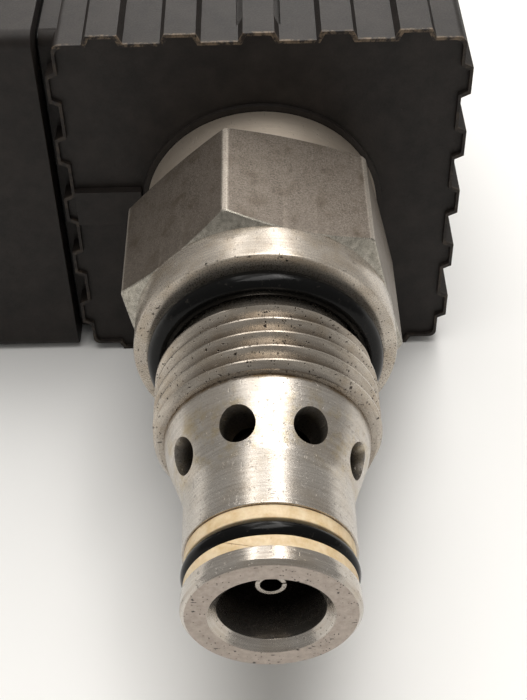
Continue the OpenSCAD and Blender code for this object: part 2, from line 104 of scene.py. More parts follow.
O_RING_RECESS_R = 12.2                    # the flange is cut back by a hair inside this
O_RING_RECESS_DEPTH = 0.15
FLANGE_R = 13.55
HEX_AF = 26.8
HEX_TURN = -14.1
HEX_CORNER_R = HEX_AF / 2 / math.cos(math.radians(30))
HEX_CORNER_CUT = 0.13                     # the corners are turned off by this
HEX_S = (35.9, 51.1)
HEX_TOP_CHAMFER = 0.65                    # height at the corners, towards the coil
COLLAR_R = 13.2
COLLAR_S = 56.0


# =====================================================================
# Meshes
# =====================================================================
def at(radius, turn, s):
    """A point of the frame from a radius, an angle round the valve and a distance from the nose."""
    a = math.radians(turn)
    return Vector((radius * math.sin(a) * MM, NOSE_Y + s * MM, radius * math.cos(a) * MM))


def new_object(name, mesh):
    obj = bpy.data.objects.new(name, mesh)
    bpy.context.scene.collection.objects.link(obj)
    return obj


def finish_mesh(bm, name, sharp=35):
    """A clean, outward-facing mesh with smooth faces and crisp edges."""
    bmesh.ops.remove_doubles(bm, verts=bm.verts, dist=2e-7)
    bmesh.ops.dissolve_degenerate(bm, edges=bm.edges, dist=1e-8)
    bmesh.ops.recalc_face_normals(bm, faces=bm.faces)
    mesh = bpy.data.meshes.new(name)
    bm.to_mesh(mesh)
    bm.free()
    mesh.polygons.foreach_set("use_smooth", [True] * len(mesh.polygons))
    mesh.set_sharp_from_angle(angle=math.radians(sharp))
    return new_object(name, mesh)


def even_turns(count):
    return [360 * i / count for i in range(count)]


def ring_surface(name, rows, turns=None, sharp=35):
    """Closed ring of revolution: each row is (r, s), or a function from an angle to (r, s)."""
    turns = turns or even_turns(256)
    turns = list(turns) + [turns[0] + 360]
    bm = bmesh.new()
    grid = []
    for row in rows:
        place = row if callable(row) else (lambda turn, fixed=row: fixed)
        grid.append([bm.verts.new(at(place(t)[0], t, place(t)[1])) for t in turns])
    for i, low in enumerate(grid):
        high = grid[(i + 1) % len(grid)]
        for j in range(len(turns) - 1):
            bm.faces.new((low[j], low[j + 1], high[j + 1], high[j]))
    return finish_mesh(bm, name, sharp)


def rounded(section, radius, steps=3):
    """A section with each corner that turns sharply replaced by a short arc."""
    count = len(section)
    out = []
    for i in range(count):
        before, here, after = (Vector(section[k % count]) for k in (i - 1, i, i + 1))
        to_before, to_after = before - here, after - here
        bend = to_before.angle(to_after, math.pi)
        if bend > math.radians(160) or min(to_before.length, to_after.length) < 1e-6:
            out.append(tuple(here))
            continue
        cut = min(radius / math.tan(bend / 2), to_before.length * 0.45, to_after.length * 0.45)
        start = here + to_before.normalized() * cut
        end = here + to_after.normalized() * cut
        for k in range(steps + 1):
            u = k / steps
            out.append(tuple(start * (1 - u) ** 2 + here * 2 * u * (1 - u) + end * u * u))
    return out


def spaced(section, step):
    """A section with points added so that no stretch is longer than step."""
    out = []
    for i, here in enumerate(section):
        after = Vector(section[(i + 1) % len(section)])
        here = Vector(here)
        pieces = max(1, math.ceil((after - here).length / step))
        out += [tuple(here.lerp(after, k / pieces)) for k in range(pieces)]
    return out


def apply_modifiers(obj):
    """Bakes an object's modifiers into its mesh."""
    depsgraph = bpy.context.evaluated_depsgraph_get()
    mesh = bpy.data.meshes.new_from_object(obj.evaluated_get(depsgraph))
    old = obj.data
    obj.modifiers.clear()
    obj.data = mesh
    bpy.data.meshes.remove(old)
    return obj


def cut_with(obj, cutters):
    """Subtracts each cutter from obj, and deletes the cutters."""
    for cutter in cutters:
        hole = obj.modifiers.new("cut", "BOOLEAN")
        hole.operation = "DIFFERENCE"
        hole.solver = "EXACT"
        hole.object = cutter
    apply_modifiers(obj)
    for cutter in cutters:
        bpy.data.objects.remove(cutter)
    obj.data.polygons.foreach_set("use_smooth", [True] * len(obj.data.polygons))
    obj.data.set_sharp_from_angle(angle=math.radians(35))
    return obj


def softened(node, name, width, segments=2, limit=50):
    """A copy of a CAD node with its hard edges rounded by width, in mm."""
    source = frame["nodes"][node]
    bm = bmesh.new()
    bm.from_mesh(source.data)
    bmesh.ops.remove_doubles(bm, verts=bm.verts, dist=1e-6)
    bmesh.ops.dissolve_limit(
        bm, angle_limit=math.radians(0.5), verts=bm.verts, edges=bm.edges, delimit={"NORMAL"}
    )
    mesh = bpy.data.meshes.new(name)
    bm.to_mesh(mesh)
    bm.free()
    obj = new_object(name, mesh)
    bevel = obj.modifiers.new("edge", "BEVEL")
    bevel.width = width * MM
    bevel.segments = segments
    bevel.limit_method = "ANGLE"
    bevel.angle_limit = math.radians(limit)
    bevel.use_clamp_overlap = True
    apply_modifiers(obj)
    obj.data.polygons.foreach_set("use_smooth", [True] * len(obj.data.polygons))
    obj.data.set_sharp_from_angle(angle=math.radians(40))
    even = obj.modifiers.new("even", "WEIGHTED_NORMAL")   # keeps the large flats evenly shaded
    even.keep_sharp = True
    even.weight = 100
    return apply_modifiers(obj)


# =====================================================================
# Materials
# =====================================================================
class Paint:
    """A node material, with short calls for the textures that the surfaces are made of."""

    def __init__(self, name):
        self.material = bpy.data.materials.new(name)
        self.material.use_nodes = True
        self.tree = self.material.node_tree
        self.shader = self.tree.nodes["Principled BSDF"]

    def node(self, kind, **settings):
        made = self.tree.nodes.new(kind)
        for key, value in settings.items():
            setattr(made, key, value)
        return made

    def link(self, source, socket):
        self.tree.links.new(source, socket)

    def feed(self, socket, value):
        if hasattr(value, "is_output"):
            self.link(value, socket)
        else:
            socket.default_value = value

    def set(self, **values):
        for key, value in values.items():
            self.feed(self.shader.inputs[key.replace("_", " ")], value)

    def coords(self, stretch=(1, 1, 1)):
        """Object coordinates in millimetres, stretched along the frame's axes."""
        place = self.node("ShaderNodeTexCoord")
        mapping = self.node("ShaderNodeMapping")
        mapping.inputs["Scale"].default_value = [k / MM for k in stretch]
        self.link(place.outputs["Object"], mapping.inputs["Vector"])
        return mapping.outputs["Vector"]

    def noise(self, per_mm, stretch=(1, 1, 1), detail=4.0, rough=0.55):
        tex = self.node("ShaderNodeTexNoise")
        self.link(self.coords(stretch), tex.inputs["Vector"])
        tex.inputs["Scale"].default_value = per_mm
        tex.inputs["Detail"].default_value = detail
        tex.inputs["Roughness"].default_value = rough
        return tex.outputs["Fac"]

    def pits(self, per_mm, size, share=0.5, stretch=(1, 1, 1)):
        """Mask of small ragged spots of radius size, in the given share of the texture's cells."""
        tex = self.node("ShaderNodeTexVoronoi", feature="F1")
        self.link(self.coords(stretch), tex.inputs["Vector"])
        tex.inputs["Scale"].default_value = per_mm
        split = self.node("ShaderNodeSeparateColor")
        self.link(tex.outputs["Color"], split.inputs["Color"])
        chosen = self.range(split.outputs["Red"], share - 0.01, share, 1, 0)
        reach = size * per_mm
        wobble = self.range(self.noise(per_mm * 5), 0.3, 0.7, -0.5 * reach, 0.5 * reach)
        ragged = self.math("ADD", tex.outputs["Distance"], wobble)
        spot = self.range(ragged, reach * 0.6, reach, 1, 0)
        return self.math("MULTIPLY", spot, chosen)

    def scratches(self, per_mm, share=0.4):
        """Mask of short dark nicks that lie along two slants."""
        one = self.pits(per_mm, 0.17, share, stretch=(0.6, 2.6, 2.0))
        two = self.pits(per_mm, 0.17, share, stretch=(2.6, 0.6, 1.6))
        return self.math("MAXIMUM", one, two)

    def distance_s(self):
        """Distance from the nose end in millimetres."""
        return self.math("SUBTRACT", self.along("Y"), NOSE_Y / MM)

    def band(self, value, low, high, soft=0.05):
        """1 where value lies between low and high."""
        rise = self.range(value, low - soft, low + soft)
        return self.math("MULTIPLY", rise, self.range(value, high - soft, high + soft, 1, 0))

    def along(self, axis="Y"):
        """One object coordinate in millimetres."""
        split = self.node("ShaderNodeSeparateXYZ")
        self.link(self.coords(), split.inputs["Vector"])
        return split.outputs[axis]

    def radius(self):
        """Distance from the valve's axis in millimetres."""
        flat = self.node("ShaderNodeVectorMath", operation="MULTIPLY")
        self.link(self.coords(), flat.inputs[0])
        flat.inputs[1].default_value = (1, 0, 1)
        length = self.node("ShaderNodeVectorMath", operation="LENGTH")
        self.link(flat.outputs["Vector"], length.inputs[0])
        return length.outputs["Value"]

    def widest(self):
        """The greater of the distances from the axis along X and along Z, in millimetres."""
        split = self.node("ShaderNodeSeparateXYZ")
        self.link(self.coords(), split.inputs["Vector"])
        sides = [self.math("ABSOLUTE", split.outputs[axis]) for axis in ("X", "Z")]
        return self.math("MAXIMUM", *sides)

    def ramp(self, fac, *stops):
        """Colour or grey ramp: each stop is (position, grey) or (position, (r, g, b))."""
        made = self.node("ShaderNodeValToRGB")
        elements = made.color_ramp.elements
        while len(elements) < len(stops):
            elements.new(0.5)
        for element, (position, value) in zip(elements, stops):
            element.position = position
            colour = value if isinstance(value, tuple) else (value,) * 3
            element.color = (*colour, 1)
        self.link(fac, made.inputs["Fac"])
        return made.outputs["Color"]

    def range(self, value, low, high, to_low=0.0, to_high=1.0):
        made = self.node("ShaderNodeMapRange", clamp=True)
        for key, number in zip(("From Min", "From Max", "To Min", "To Max"), (low, high, to_low, to_high)):
            made.inputs[key].default_value = number
        self.link(value, made.inputs["Value"])
        return made.outputs["Result"]

    def math(self, operation, a, b=0.0):
        made = self.node("ShaderNodeMath", operation=operation)
        self.feed(made.inputs[0], a)
        self.feed(made.inputs[1], b)
        return made.outputs[0]

    def mix(self, fac, a, b, blend="MIX"):
        made = self.node("ShaderNodeMix", data_type="RGBA", blend_type=blend)
        self.feed(made.inputs[0], fac)
        for socket, value in ((made.inputs[6], a), (made.inputs[7], b)):
            self.feed(socket, (*value, 1) if isinstance(value, tuple) else value)
        return made.outputs[2]

    def bump(self, height, distance_mm, strength=1.0, under=None):
        made = self.node("ShaderNodeBump")
        made.inputs["Strength"].default_value = strength
        made.inputs["Distance"].default_value = distance_mm * MM
        self.link(height, made.inputs["Height"])
        if under is not None:
            self.link(under, made.inputs["Normal"])
        self.link(made.outputs["Normal"], self.shader.inputs["Normal"])
        return made.outputs["Normal"]


def turned_steel(name, light, dark, rough=(0.24, 0.38), stain=0.35):
    """Turned steel: fine rings round the valve, soft stains, pits and brown specks."""
    p = Paint(name)
    rings = p.noise(5.0, stretch=(0.05, 1, 0.05), detail=3)
    broad = p.noise(0.35, detail=4)
    fine = p.noise(9.0, detail=2)
    speck = p.noise(2.6, detail=6, rough=0.75)
    pit = p.math("MAXIMUM", p.pits(2.0, 0.10, 0.08), p.pits(4.0, 0.05, 0.10))
    base = p.mix(p.range(rings, 0.3, 0.7), dark, light)
    base = p.mix(p.range(broad, 0.45, 0.7, 0, stain), base, (0.40, 0.31, 0.21))
    rust = p.range(speck, 0.64, 0.73, 0, 0.8)
    base = p.mix(rust, base, (0.16, 0.085, 0.045))
    at_joint = p.band(p.distance_s(), JOINT_S - 0.12, JOINT_S + 0.22, 0.1)
    joint_rust = p.math("MULTIPLY", at_joint, p.range(broad, 0.4, 0.55, 0.1, 0.85))
    base = p.mix(joint_rust, base, (0.26, 0.15, 0.06))
    base = p.mix(pit, base, (0.02, 0.014, 0.01))
    p.set(Base_Color=base, Metallic=p.range(pit, 0, 1, 1, 0.3))
    roughness = p.math("ADD", p.range(fine, 0.3, 0.7, *rough), p.range(rust, 0, 1, 0, 0.25))
    p.set(Roughness=roughness)
    grooves = p.bump(rings, 0.008)
    grain = p.bump(speck, 0.012, 0.6, under=grooves)
    p.bump(p.math("SUBTRACT", 1.0, pit), 0.03, 0.8, under=grain)
    return p.material


def nose_steel():
    """Turned steel with a matt tan nose face, painted shade deep in the bore, the nozzle's hole and the
    side holes, and brown stains round the side holes.
    """
    p = Paint("steel")
    rings = p.noise(5.0, stretch=(0.05, 1, 0.05), detail=3)
    broad = p.noise(0.3, detail=4)
    fine = p.noise(9.0, detail=2)
    speck = p.noise(2.4, detail=6, rough=0.75)
    s = p.distance_s()
    small_pit = p.math("MAXIMUM", p.pits(4.0, 0.08, 0.14), p.scratches(1.0, 0.3))
    pit = p.math("MAXIMUM", p.pits(1.8, 0.18, 0.10), small_pit)
    base = p.mix(p.range(rings, 0.3, 0.7), (0.40, 0.365, 0.325), (0.56, 0.52, 0.47))
    base = p.mix(p.range(broad, 0.45, 0.7, 0, 0.35), base, (0.38, 0.30, 0.21))
    port_band = p.band(s, PORT_S - 3.0, PORT_S + 3.0, 1.2)
    oil = p.math("MULTIPLY", port_band, p.range(p.noise(0.55, detail=5, rough=0.65), 0.47, 0.62, 0, 0.55))
    base = p.mix(oil, base, (0.42, 0.33, 0.18))
    rust = p.math("MULTIPLY", p.range(speck, 0.61, 0.70, 0, 0.8), p.range(port_band, 0, 1, 0.3, 1))
    joint_line = p.band(s, JOINT_S - 0.25, JOINT_S + 0.1, 0.1)
    at_joint = p.math("MULTIPLY", joint_line, p.range(broad, 0.4, 0.55, 0.2, 0.9))
    base = p.mix(at_joint, base, (0.22, 0.14, 0.06))
    base = p.mix(rust, base, (0.15, 0.085, 0.045))
    face = p.range(s, 0.02, 0.06, 1, 0)
    cast = p.noise(1.2, detail=6, rough=0.75)
    tan = p.ramp(cast, (0.35, (0.36, 0.30, 0.255)), (0.65, (0.50, 0.43, 0.375)))
    base = p.mix(face, base, tan)
    r = p.radius()
    # painted shade: the bore wall darkens deeper in, everything within 1 mm of the axis (the nozzle's hole)
    # is dark, and the side holes darken with depth
    at_wall = p.band(r, BORE_R - 0.2, BORE_R + 0.5, 0.2)
    bore_painted_shade = p.math("MULTIPLY", at_wall, p.range(s, 1.2, 4.5, 0.0, 0.93))
    bore_painted_shade = p.math("MAXIMUM", bore_painted_shade, p.range(r, 0.96, 1.0, 1, 0))
    depth = p.math("SUBTRACT", p.range(s, *CONE_S, NOSE_R, CONE_END_R), r)
    port_painted_shade = p.math("MULTIPLY", p.range(depth, 0.12, 1.4, 0, 0.85), p.band(s, CONE_S[0], JOINT_S, 0.1))
    # the painted shade of the bore and the holes is mixed in here, as (0.035, 0.028, 0.022)
    base = p.mix(p.math("MAXIMUM", bore_painted_shade, port_painted_shade), base, (0.035, 0.028, 0.022))
    dark_pit = p.math("MULTIPLY", pit, p.range(face, 0, 1, 0.3, 1))
    base = p.mix(dark_pit, base, (0.03, 0.02, 0.014))
    metal = p.math("SUBTRACT", p.range(face, 0, 1, 0.88, 0.5), p.math("MULTIPLY", dark_pit, 0.5))
    p.set(Base_Color=base, Metallic=metal)
    roughness = p.math("ADD", p.range(fine, 0.3, 0.7, 0.13, 0.25), p.range(rust, 0, 1, 0, 0.25))
    roughness = p.math("ADD", roughness, p.range(s, 1.7, 1.9, 0, 0.06))
    roughness = p.math("ADD", roughness, p.range(s, 6.0, 16.0, 0, 0.06))
    p.set(Roughness=p.math("ADD", roughness, p.range(face, 0, 1, 0, 0.25)))
    grooves = p.bump(rings, 0.008)
    grain = p.bump(speck, 0.015, 0.6, under=grooves)
    p.bump(p.math("SUBTRACT", 1.0, dark_pit), 0.04, 0.8, under=grain)
    return p.material


def body_steel():
    """Threaded body: bright turned bands, a collar lightened with painted highlight, dull mottled flats,
    thread roots darkened by painted shade and dirt, and darker chamfers.
    """
    p = Paint("hex_steel")
    s = p.distance_s()
    r = p.radius()
    grain = p.noise(6.0, detail=5, rough=0.7)
    streak = p.noise(1.6, stretch=(1, 0.12, 1), detail=4)
    mottle = p.noise(0.45, detail=5, rough=0.6)
    rings = p.noise(5.0, stretch=(0.05, 1, 0.05), detail=3)
    speck = p.noise(2.6, detail=6, rough=0.75)
    small_pit = p.math("MAXIMUM", p.pits(4.0, 0.08, 0.10), p.scratches(1.1))
    pit = p.math("MAXIMUM", p.pits(1.8, 0.17, 0.05), small_pit)
    in_band = p.band(s, SEAT_S + 0.3, HEX_S[1], 0.1)
    pit = p.math("MULTIPLY", pit, p.range(in_band, 0, 1, 1, 0.3))

    turned = p.mix(p.range(rings, 0.3, 0.7), (0.36, 0.32, 0.275), (0.52, 0.47, 0.405))
    turned = p.mix(p.range(mottle, 0.45, 0.7, 0, 0.5), turned, (0.32, 0.25, 0.17))
    rust = p.range(speck, 0.64, 0.73, 0, 0.8)
    turned = p.mix(rust, turned, (0.17, 0.09, 0.045))
    in_thread = p.band(s, JOINT_S, THREAD_END_S, 0.1)
    # painted shade and dirt: the thread flanks darken towards their roots
    root_shade_and_dirt = p.math("MULTIPLY", in_thread, p.range(r, THREAD_ROOT, THREAD_R - 0.15, 0.75, 0.0))
    turned = p.mix(root_shade_and_dirt, turned, (0.16, 0.135, 0.115))

    flat = p.ramp(grain, (0.36, (0.085, 0.070, 0.056)), (0.64, (0.27, 0.232, 0.195)))
    flat = p.mix(p.range(streak, 0.35, 0.7, 0, 0.3), flat, (0.25, 0.215, 0.18))
    flat = p.mix(p.range(mottle, 0.5, 0.72, 0, 0.55), flat, (0.085, 0.062, 0.038))
    corner = p.range(r, 15.22, 15.33)
    flat = p.mix(p.math("MULTIPLY", corner, p.range(grain, 0.35, 0.6, 0.35, 0.9)), flat, (0.50, 0.45, 0.39))

    normal = p.node("ShaderNodeSeparateXYZ")
    p.link(p.node("ShaderNodeTexCoord").outputs["Normal"], normal.inputs["Vector"])
    facing = p.math("ABSOLUTE", normal.outputs["Y"])
    in_hex = p.band(s, HEX_S[0] + 0.02, HEX_S[1] - 0.02, 0.02)
    is_flat = p.math("MULTIPLY", in_hex, p.range(facing, 0.35, 0.5, 1, 0))
    chamfer = p.math("MULTIPLY", in_hex, p.range(facing, 0.35, 0.5))
    chamfer_tone = p.ramp(streak, (0.35, (0.24, 0.225, 0.19)), (0.65, (0.42, 0.39, 0.335)))
    turned = p.mix(chamfer, turned, chamfer_tone)
    collar = p.range(s, HEX_S[1] - 0.02, HEX_S[1] + 0.05)
    base = p.mix(is_flat, turned, flat)
    base = p.mix(p.math("MULTIPLY", pit, p.range(is_flat, 0, 1, 1, 0.25)), base, (0.02, 0.014, 0.01))
    # painted highlight: the collar's colour is lightened to stand in for light falling on it
    base = p.mix(p.math("MULTIPLY", collar, 0.7), base, (0.74, 0.64, 0.53))
    flange = p.band(s, SEAT_S, HEX_S[0] + 0.3, 0.1)
    dull = p.math("MAXIMUM", p.math("MULTIPLY", is_flat, 0.15), p.math("MULTIPLY", flange, 0.25))
    p.set(Base_Color=base, Metallic=p.math("SUBTRACT", 0.85, dull))
    shiny = p.math("ADD", p.range(grain, 0.3, 0.7, 0.22, 0.34), p.range(rust, 0, 1, 0, 0.2))
    shiny = p.math("ADD", shiny, p.range(collar, 0, 1, 0, 0.2))
    p.set(Roughness=p.math("ADD", shiny, p.range(is_flat, 0, 1, 0, 0.2)))
    grooves = p.bump(p.math("MULTIPLY", rings, p.range(is_flat, 0, 1, 1, 0)), 0.008)
    rough_skin = p.bump(p.math("MULTIPLY", grain, p.range(is_flat, 0, 1, 0.3, 1)), 0.02, 0.7, under=grooves)
    p.bump(p.math("SUBTRACT", 1.0, pit), 0.03, 0.8, under=rough_skin)
    return p.material


def rubber(name, shade=0.003):
    """Black rubber with a soft sheen, dust and light scratches."""
    p = Paint(name)
    dust = p.noise(2.0, detail=6, rough=0.7)
    scratch = p.noise(3.0, stretch=(0.3, 2.0, 0.3), detail=3)
    lint = p.pits(0.9, 0.07, 0.2, stretch=(1, 2.5, 1))
    base = p.mix(p.range(dust, 0.60, 0.75, 0, 0.3), (shade, shade, shade), (0.10, 0.085, 0.07))
    base = p.mix(p.math("MULTIPLY", lint, 0.6), base, (0.35, 0.30, 0.24))
    p.set(Base_Color=base, Roughness=p.range(dust, 0.4, 0.7, 0.12, 0.32))
    p.set(Specular_IOR_Level=0.14)
    p.bump(scratch, 0.015, 0.5)
    return p.material


def ring_plastic():
    """Cream backup ring plastic, stained brown by oil, darker at its edges."""
    p = Paint("ptfe")
    stain = p.noise(0.8, detail=6, rough=0.7)
    spot = p.noise(4.0, detail=4)
    base = p.ramp(stain, (0.38, (0.74, 0.60, 0.40)), (0.66, (0.58, 0.42, 0.22)))
    base = p.mix(p.range(spot, 0.68, 0.76, 0, 0.7), base, (0.20, 0.11, 0.055))
    s = p.distance_s()
    edge = p.math("MAXIMUM", p.band(s, 1.6, 1.88, 0.08), p.band(s, 6.12, 6.5, 0.08))
    base = p.mix(p.math("MULTIPLY", edge, p.range(stain, 0.4, 0.6, 0.3, 0.9)), base, (0.22, 0.12, 0.06))
    p.set(Base_Color=base, Roughness=0.42)
    p.set(Subsurface_Weight=0.15)
    p.shader.inputs["Subsurface Radius"].default_value = (1 * MM, 0.6 * MM, 0.3 * MM)
    p.bump(stain, 0.03, 0.4)
    return p.material


def coil_resin(name="coil_plastic"):
    """Black moulded resin, brownish and dusty, with a fine moulded grain and pale worn rib ends."""
    p = Paint(name)
    grain = p.noise(5.0, detail=4, rough=0.6)
    dust = p.noise(0.35, detail=6, rough=0.65)
    speck = p.noise(1.8, detail=5, rough=0.8)
    fleck = p.pits(0.16, 0.22, 0.35)
    base = p.ramp(dust, (0.3, (0.009, 0.007, 0.006)), (0.7, (0.021, 0.0165, 0.014)))
    base = p.mix(p.range(speck, 0.70, 0.76, 0, 0.5), base, (0.20, 0.16, 0.12))
    base = p.mix(p.math("MULTIPLY", fleck, 0.8), base, (0.32, 0.27, 0.21))
    end = p.band(p.distance_s(), COLLAR_S - 0.1, COLLAR_S + 0.3, 0.1)
    worn = p.math("MULTIPLY", end, p.range(p.noise(0.9, detail=5, rough=0.75), 0.45, 0.60, 0, 0.75))
    upward = p.range(p.along("Z"), 21.3, 21.5, 0.2, 1)
    on_lip = p.math("MULTIPLY", p.math("MULTIPLY", worn, upward), p.band(p.widest(), 21.3, 23.2, 0.1))
    base = p.mix(on_lip, base, (0.20, 0.145, 0.095))
    p.set(Base_Color=base, Roughness=p.range(grain, 0.3, 0.7, 0.45, 0.62))
    p.set(Specular_IOR_Level=0.24)
    p.bump(grain, 0.02, 0.5)
    return p.material


def plain_metal(name, colour, rough=0.35):
    """Small plated or bright metal pieces."""
    p = Paint(name)
    grain = p.noise(6.0, detail=4)
    darker = tuple(c * 0.7 for c in colour)
    p.set(Base_Color=p.ramp(grain, (0.3, darker), (0.7, colour)), Metallic=1.0)
    p.set(Roughness=p.range(grain, 0.3, 0.7, rough - 0.1, rough + 0.1))
    p.bump(grain, 0.01, 0.4)
    return p.material


def plain_plastic(name, colour, rough=0.5):
    """Inner mouldings and wire covers."""
    p = Paint(name)
    grain = p.noise(4.0, detail=4)
    darker = tuple(c * 0.75 for c in colour)
    p.set(Base_Color=p.ramp(grain, (0.3, darker), (0.7, colour)))
    p.set(Roughness=p.range(grain, 0.3, 0.7, rough - 0.1, rough + 0.1))
    p.bump(grain, 0.01, 0.4)
    return p.material


def winding_copper():
    """Enamelled wire: fine close turns along the valve."""
    p = Paint("copper")
    wave = p.node("ShaderNodeTexWave", bands_direction="Y")
    p.link(p.coords(), wave.inputs["Vector"])
    wave.inputs["Scale"].default_value = 0.8
    p.set(Base_Color=p.ramp(wave.outputs["Fac"], (0.2, (0.20, 0.07, 0.02)), (0.8, (0.60, 0.26, 0.09))))
    p.set(Metallic=0.9, Roughness=0.35)
    p.bump(wave.outputs["Fac"], 0.1, 0.8)
    return p.material


MATERIALS = {
    "steel": nose_steel(),
    "hex_steel": body_steel(),
    "tube_steel": turned_steel("tube_steel", (0.66, 0.65, 0.63), (0.5, 0.5, 0.49), stain=0.1),
    "spring_steel": plain_metal("spring_steel", (0.70, 0.70, 0.70), 0.25),
    "core_iron": plain_metal("core_iron", (0.45, 0.45, 0.46), 0.35),
    "ptfe": ring_plastic(),
    "black_rubber": rubber("black_rubber"),
    "coil_plastic": coil_resin(),
    "bobbin_plastic": plain_plastic("bobbin_plastic", (0.25, 0.22, 0.18)),
    "block_plastic": plain_plastic("block_plastic", (0.72, 0.68, 0.58)),
    "copper": winding_copper(),
    "brass": plain_metal("brass", (0.78, 0.58, 0.25), 0.3),
    "zinc_screw": plain_metal("zinc_screw", (0.66, 0.66, 0.62), 0.35),
    "earth_green": plain_metal("earth_green", (0.12, 0.30, 0.12), 0.4),
    "red_wire": plain_plastic("red_wire", (0.45, 0.05, 0.04), 0.35),
}
SLOT_OF = {part["node"]: part["material_slot"] for part in frame["record"]["subparts"]}
BODY_OF = {n: body for body, nodes in frame["record"]["behaviour"]["bodies"].items() for n in nodes}


def dress(piece, node, *more_nodes):
    """Gives a piece the material of its CAD node's slot, and its body, in the place of its CAD node."""
    slot = SLOT_OF[node]
    piece.data.materials.clear()
    piece.data.materials.append(MATERIALS[slot])
    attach(piece, BODY_OF[node])
    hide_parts(node, *more_nodes)
    return piece


# =====================================================================
# Pieces
# =====================================================================
def make_cage():
    section = [
        (MOUTH_R, 0), (NOSE_FLAT_R, 0), (NOSE_R, NOSE_CHAMFER_S),
        (NOSE_R, GROOVE_S[0]), (GROOVE_R, GROOVE_S[0]), (GROOVE_R, GROOVE_S[1]), (NOSE_R, GROOVE_S[1]),
        (NOSE_R, CONE_S[0]), (CONE_END_R, CONE_S[1]), (CAGE_RIM_R, JOINT_S), (SLEEVE_R, JOINT_S),
        (SLEEVE_R, SLEEVE_S[1]), (SLEEVE_BORE_R, SLEEVE_S[1]), (SLEEVE_BORE_R, SLEEVE_S[0]),
        (BORE_R, SLEEVE_S[0]), (BORE_R, MOUTH_CHAMFER_S)
    ]
    cage = ring_surface("cage_shell", spaced(rounded(section, 0.07), 0.5))
    cutters = []
    for i in range(PORT_COUNT):
        bm = bmesh.new()
        bmesh.ops.create_cone(
            bm, cap_ends=True, segments=72, radius1=PORT_R * MM, radius2=PORT_R * MM, depth=6 * MM,
            matrix=Matrix.Translation((0, 0, 8 * MM))
        )
        mesh = bpy.data.meshes.new("port")
        bm.to_mesh(mesh)
        bm.free()
        mesh.transform(Matrix.Rotation(math.radians(PORT_TURN + (i + 0.5) * 360 / PORT_COUNT), 4, "Y"))
        mesh.transform(Matrix.Translation((0, NOSE_Y + PORT_S * MM, 0)))
        cutters.append(new_object("port", mesh))
    cut_with(cage, cutters)
    return dress(cage, "cage")


def hex_radius(turn):
    """Distance from the axis to the hexagon, whose corners are turned off a little."""
    from_flat = (turn - HEX_TURN) % 60 - 30
    return min(HEX_AF / 2 / math.cos(math.radians(from_flat)), HEX_CORNER_R - HEX_CORNER_CUT)


def hex_turns():
    """Angles for the hexagon's mesh, closer together at its corners."""
    turns = set(even_turns(360))
    for corner in range(6):
        middle = HEX_TURN + corner * 60
        turns.update(round((middle + d) % 360, 3) for d in (-1.2, -0.9, -0.6, -0.3, 0, 0.3, 0.6, 0.9, 1.2))
    return sorted(turns)


def thread_rows():
    """Rows that follow the helix, so that its crest and root lie on the mesh's own edges."""
    crest = [(0.0, THREAD_R - 0.05), (0.02, THREAD_R), (0.12, THREAD_R), (0.14, THREAD_R - 0.05)]
    height = THREAD_R - 0.05 - THREAD_ROOT
    down = [(0.14 + 0.36 * k / 5, THREAD_R - 0.05 - height * k / 5) for k in range(1, 6)]
    root = [(0.56, THREAD_ROOT - 0.06), (0.62, THREAD_ROOT)]
    up = [(0.62 + 0.38 * k / 6, THREAD_ROOT + height * k / 6) for k in range(1, 6)]
    phases = crest + down + root + up
    rows = []
    first_s = 19.95
    for turn_index in range(-2, 6):
        for phase, radius in phases:
            def place(turn, phase=phase, radius=radius, turn_index=turn_index):
                s = first_s + THREAD_PITCH * (turn_index + phase + (turn % 360.0001) / 360)
                if s <= JOINT_S:
                    return (THREAD_START_R, JOINT_S)
                s = min(s, THREAD_END_S)
                lead_in = THREAD_START_R + s - JOINT_S
                run_out = UNDERCUT_R + (THREAD_END_S - s) * 2.2
                return (min(radius, lead_in, run_out), s)
            rows.append(place)
    return rows


def make_hex_adapter():
    low_s, high_s = HEX_S
    slope = 1.5 / 2.7
    break_r = 0.1

    def chamfer_s(turn):
        return low_s + max(hex_radius(turn) - FLANGE_R, 0) * slope

    def top_s(turn):
        past_flat = max(hex_radius(turn) - HEX_AF / 2, 0)
        return high_s - past_flat * HEX_TOP_CHAMFER / (HEX_CORNER_R - HEX_AF / 2)

    def ledge_r(turn):
        return min(FLANGE_R - 0.1, hex_radius(turn))

    rows = [(7.7, JOINT_S), (THREAD_START_R - 0.05, JOINT_S)]
    rows += thread_rows()
    rows += [
        (UNDERCUT_R, THREAD_END_S), (UNDERCUT_R, SEAT_S + O_RING_RECESS_DEPTH),
        (O_RING_RECESS_R, SEAT_S + O_RING_RECESS_DEPTH), (O_RING_RECESS_R, SEAT_S),
        (FLANGE_R - 0.25, SEAT_S), (FLANGE_R - 0.07, SEAT_S + 0.06), (FLANGE_R, SEAT_S + 0.22),
        (FLANGE_R, low_s - 0.2), (FLANGE_R - 0.03, low_s - 0.06), (FLANGE_R - 0.1, low_s),
        lambda t: (ledge_r(t), low_s),
        lambda t: (max(hex_radius(t) - break_r, ledge_r(t)), max(chamfer_s(t) - break_r * slope, low_s)),
        lambda t: (hex_radius(t), chamfer_s(t) + break_r),
        lambda t: (hex_radius(t), (chamfer_s(t) + top_s(t)) / 2),
        lambda t: (hex_radius(t), top_s(t) - 0.06),
        lambda t: (hex_radius(t) - 0.05, top_s(t) - 0.01),
        (HEX_AF / 2 - 0.06, high_s), (COLLAR_R, high_s), (COLLAR_R, (high_s + COLLAR_S) / 2),
        (COLLAR_R, COLLAR_S - 0.3),
        (COLLAR_R - 0.08, COLLAR_S - 0.08), (COLLAR_R - 0.3, COLLAR_S),
        (8.0, COLLAR_S), (8.0, 49), (9.35, 49), (9.35, 47), (8.0, 47), (8.0, 44), (7.15, 44),
        (7.15, 30), (7.7, 30)
    ]
    body = ring_surface("hex_body", rows, hex_turns(), sharp=25)
    return dress(body, "hex_adapter")


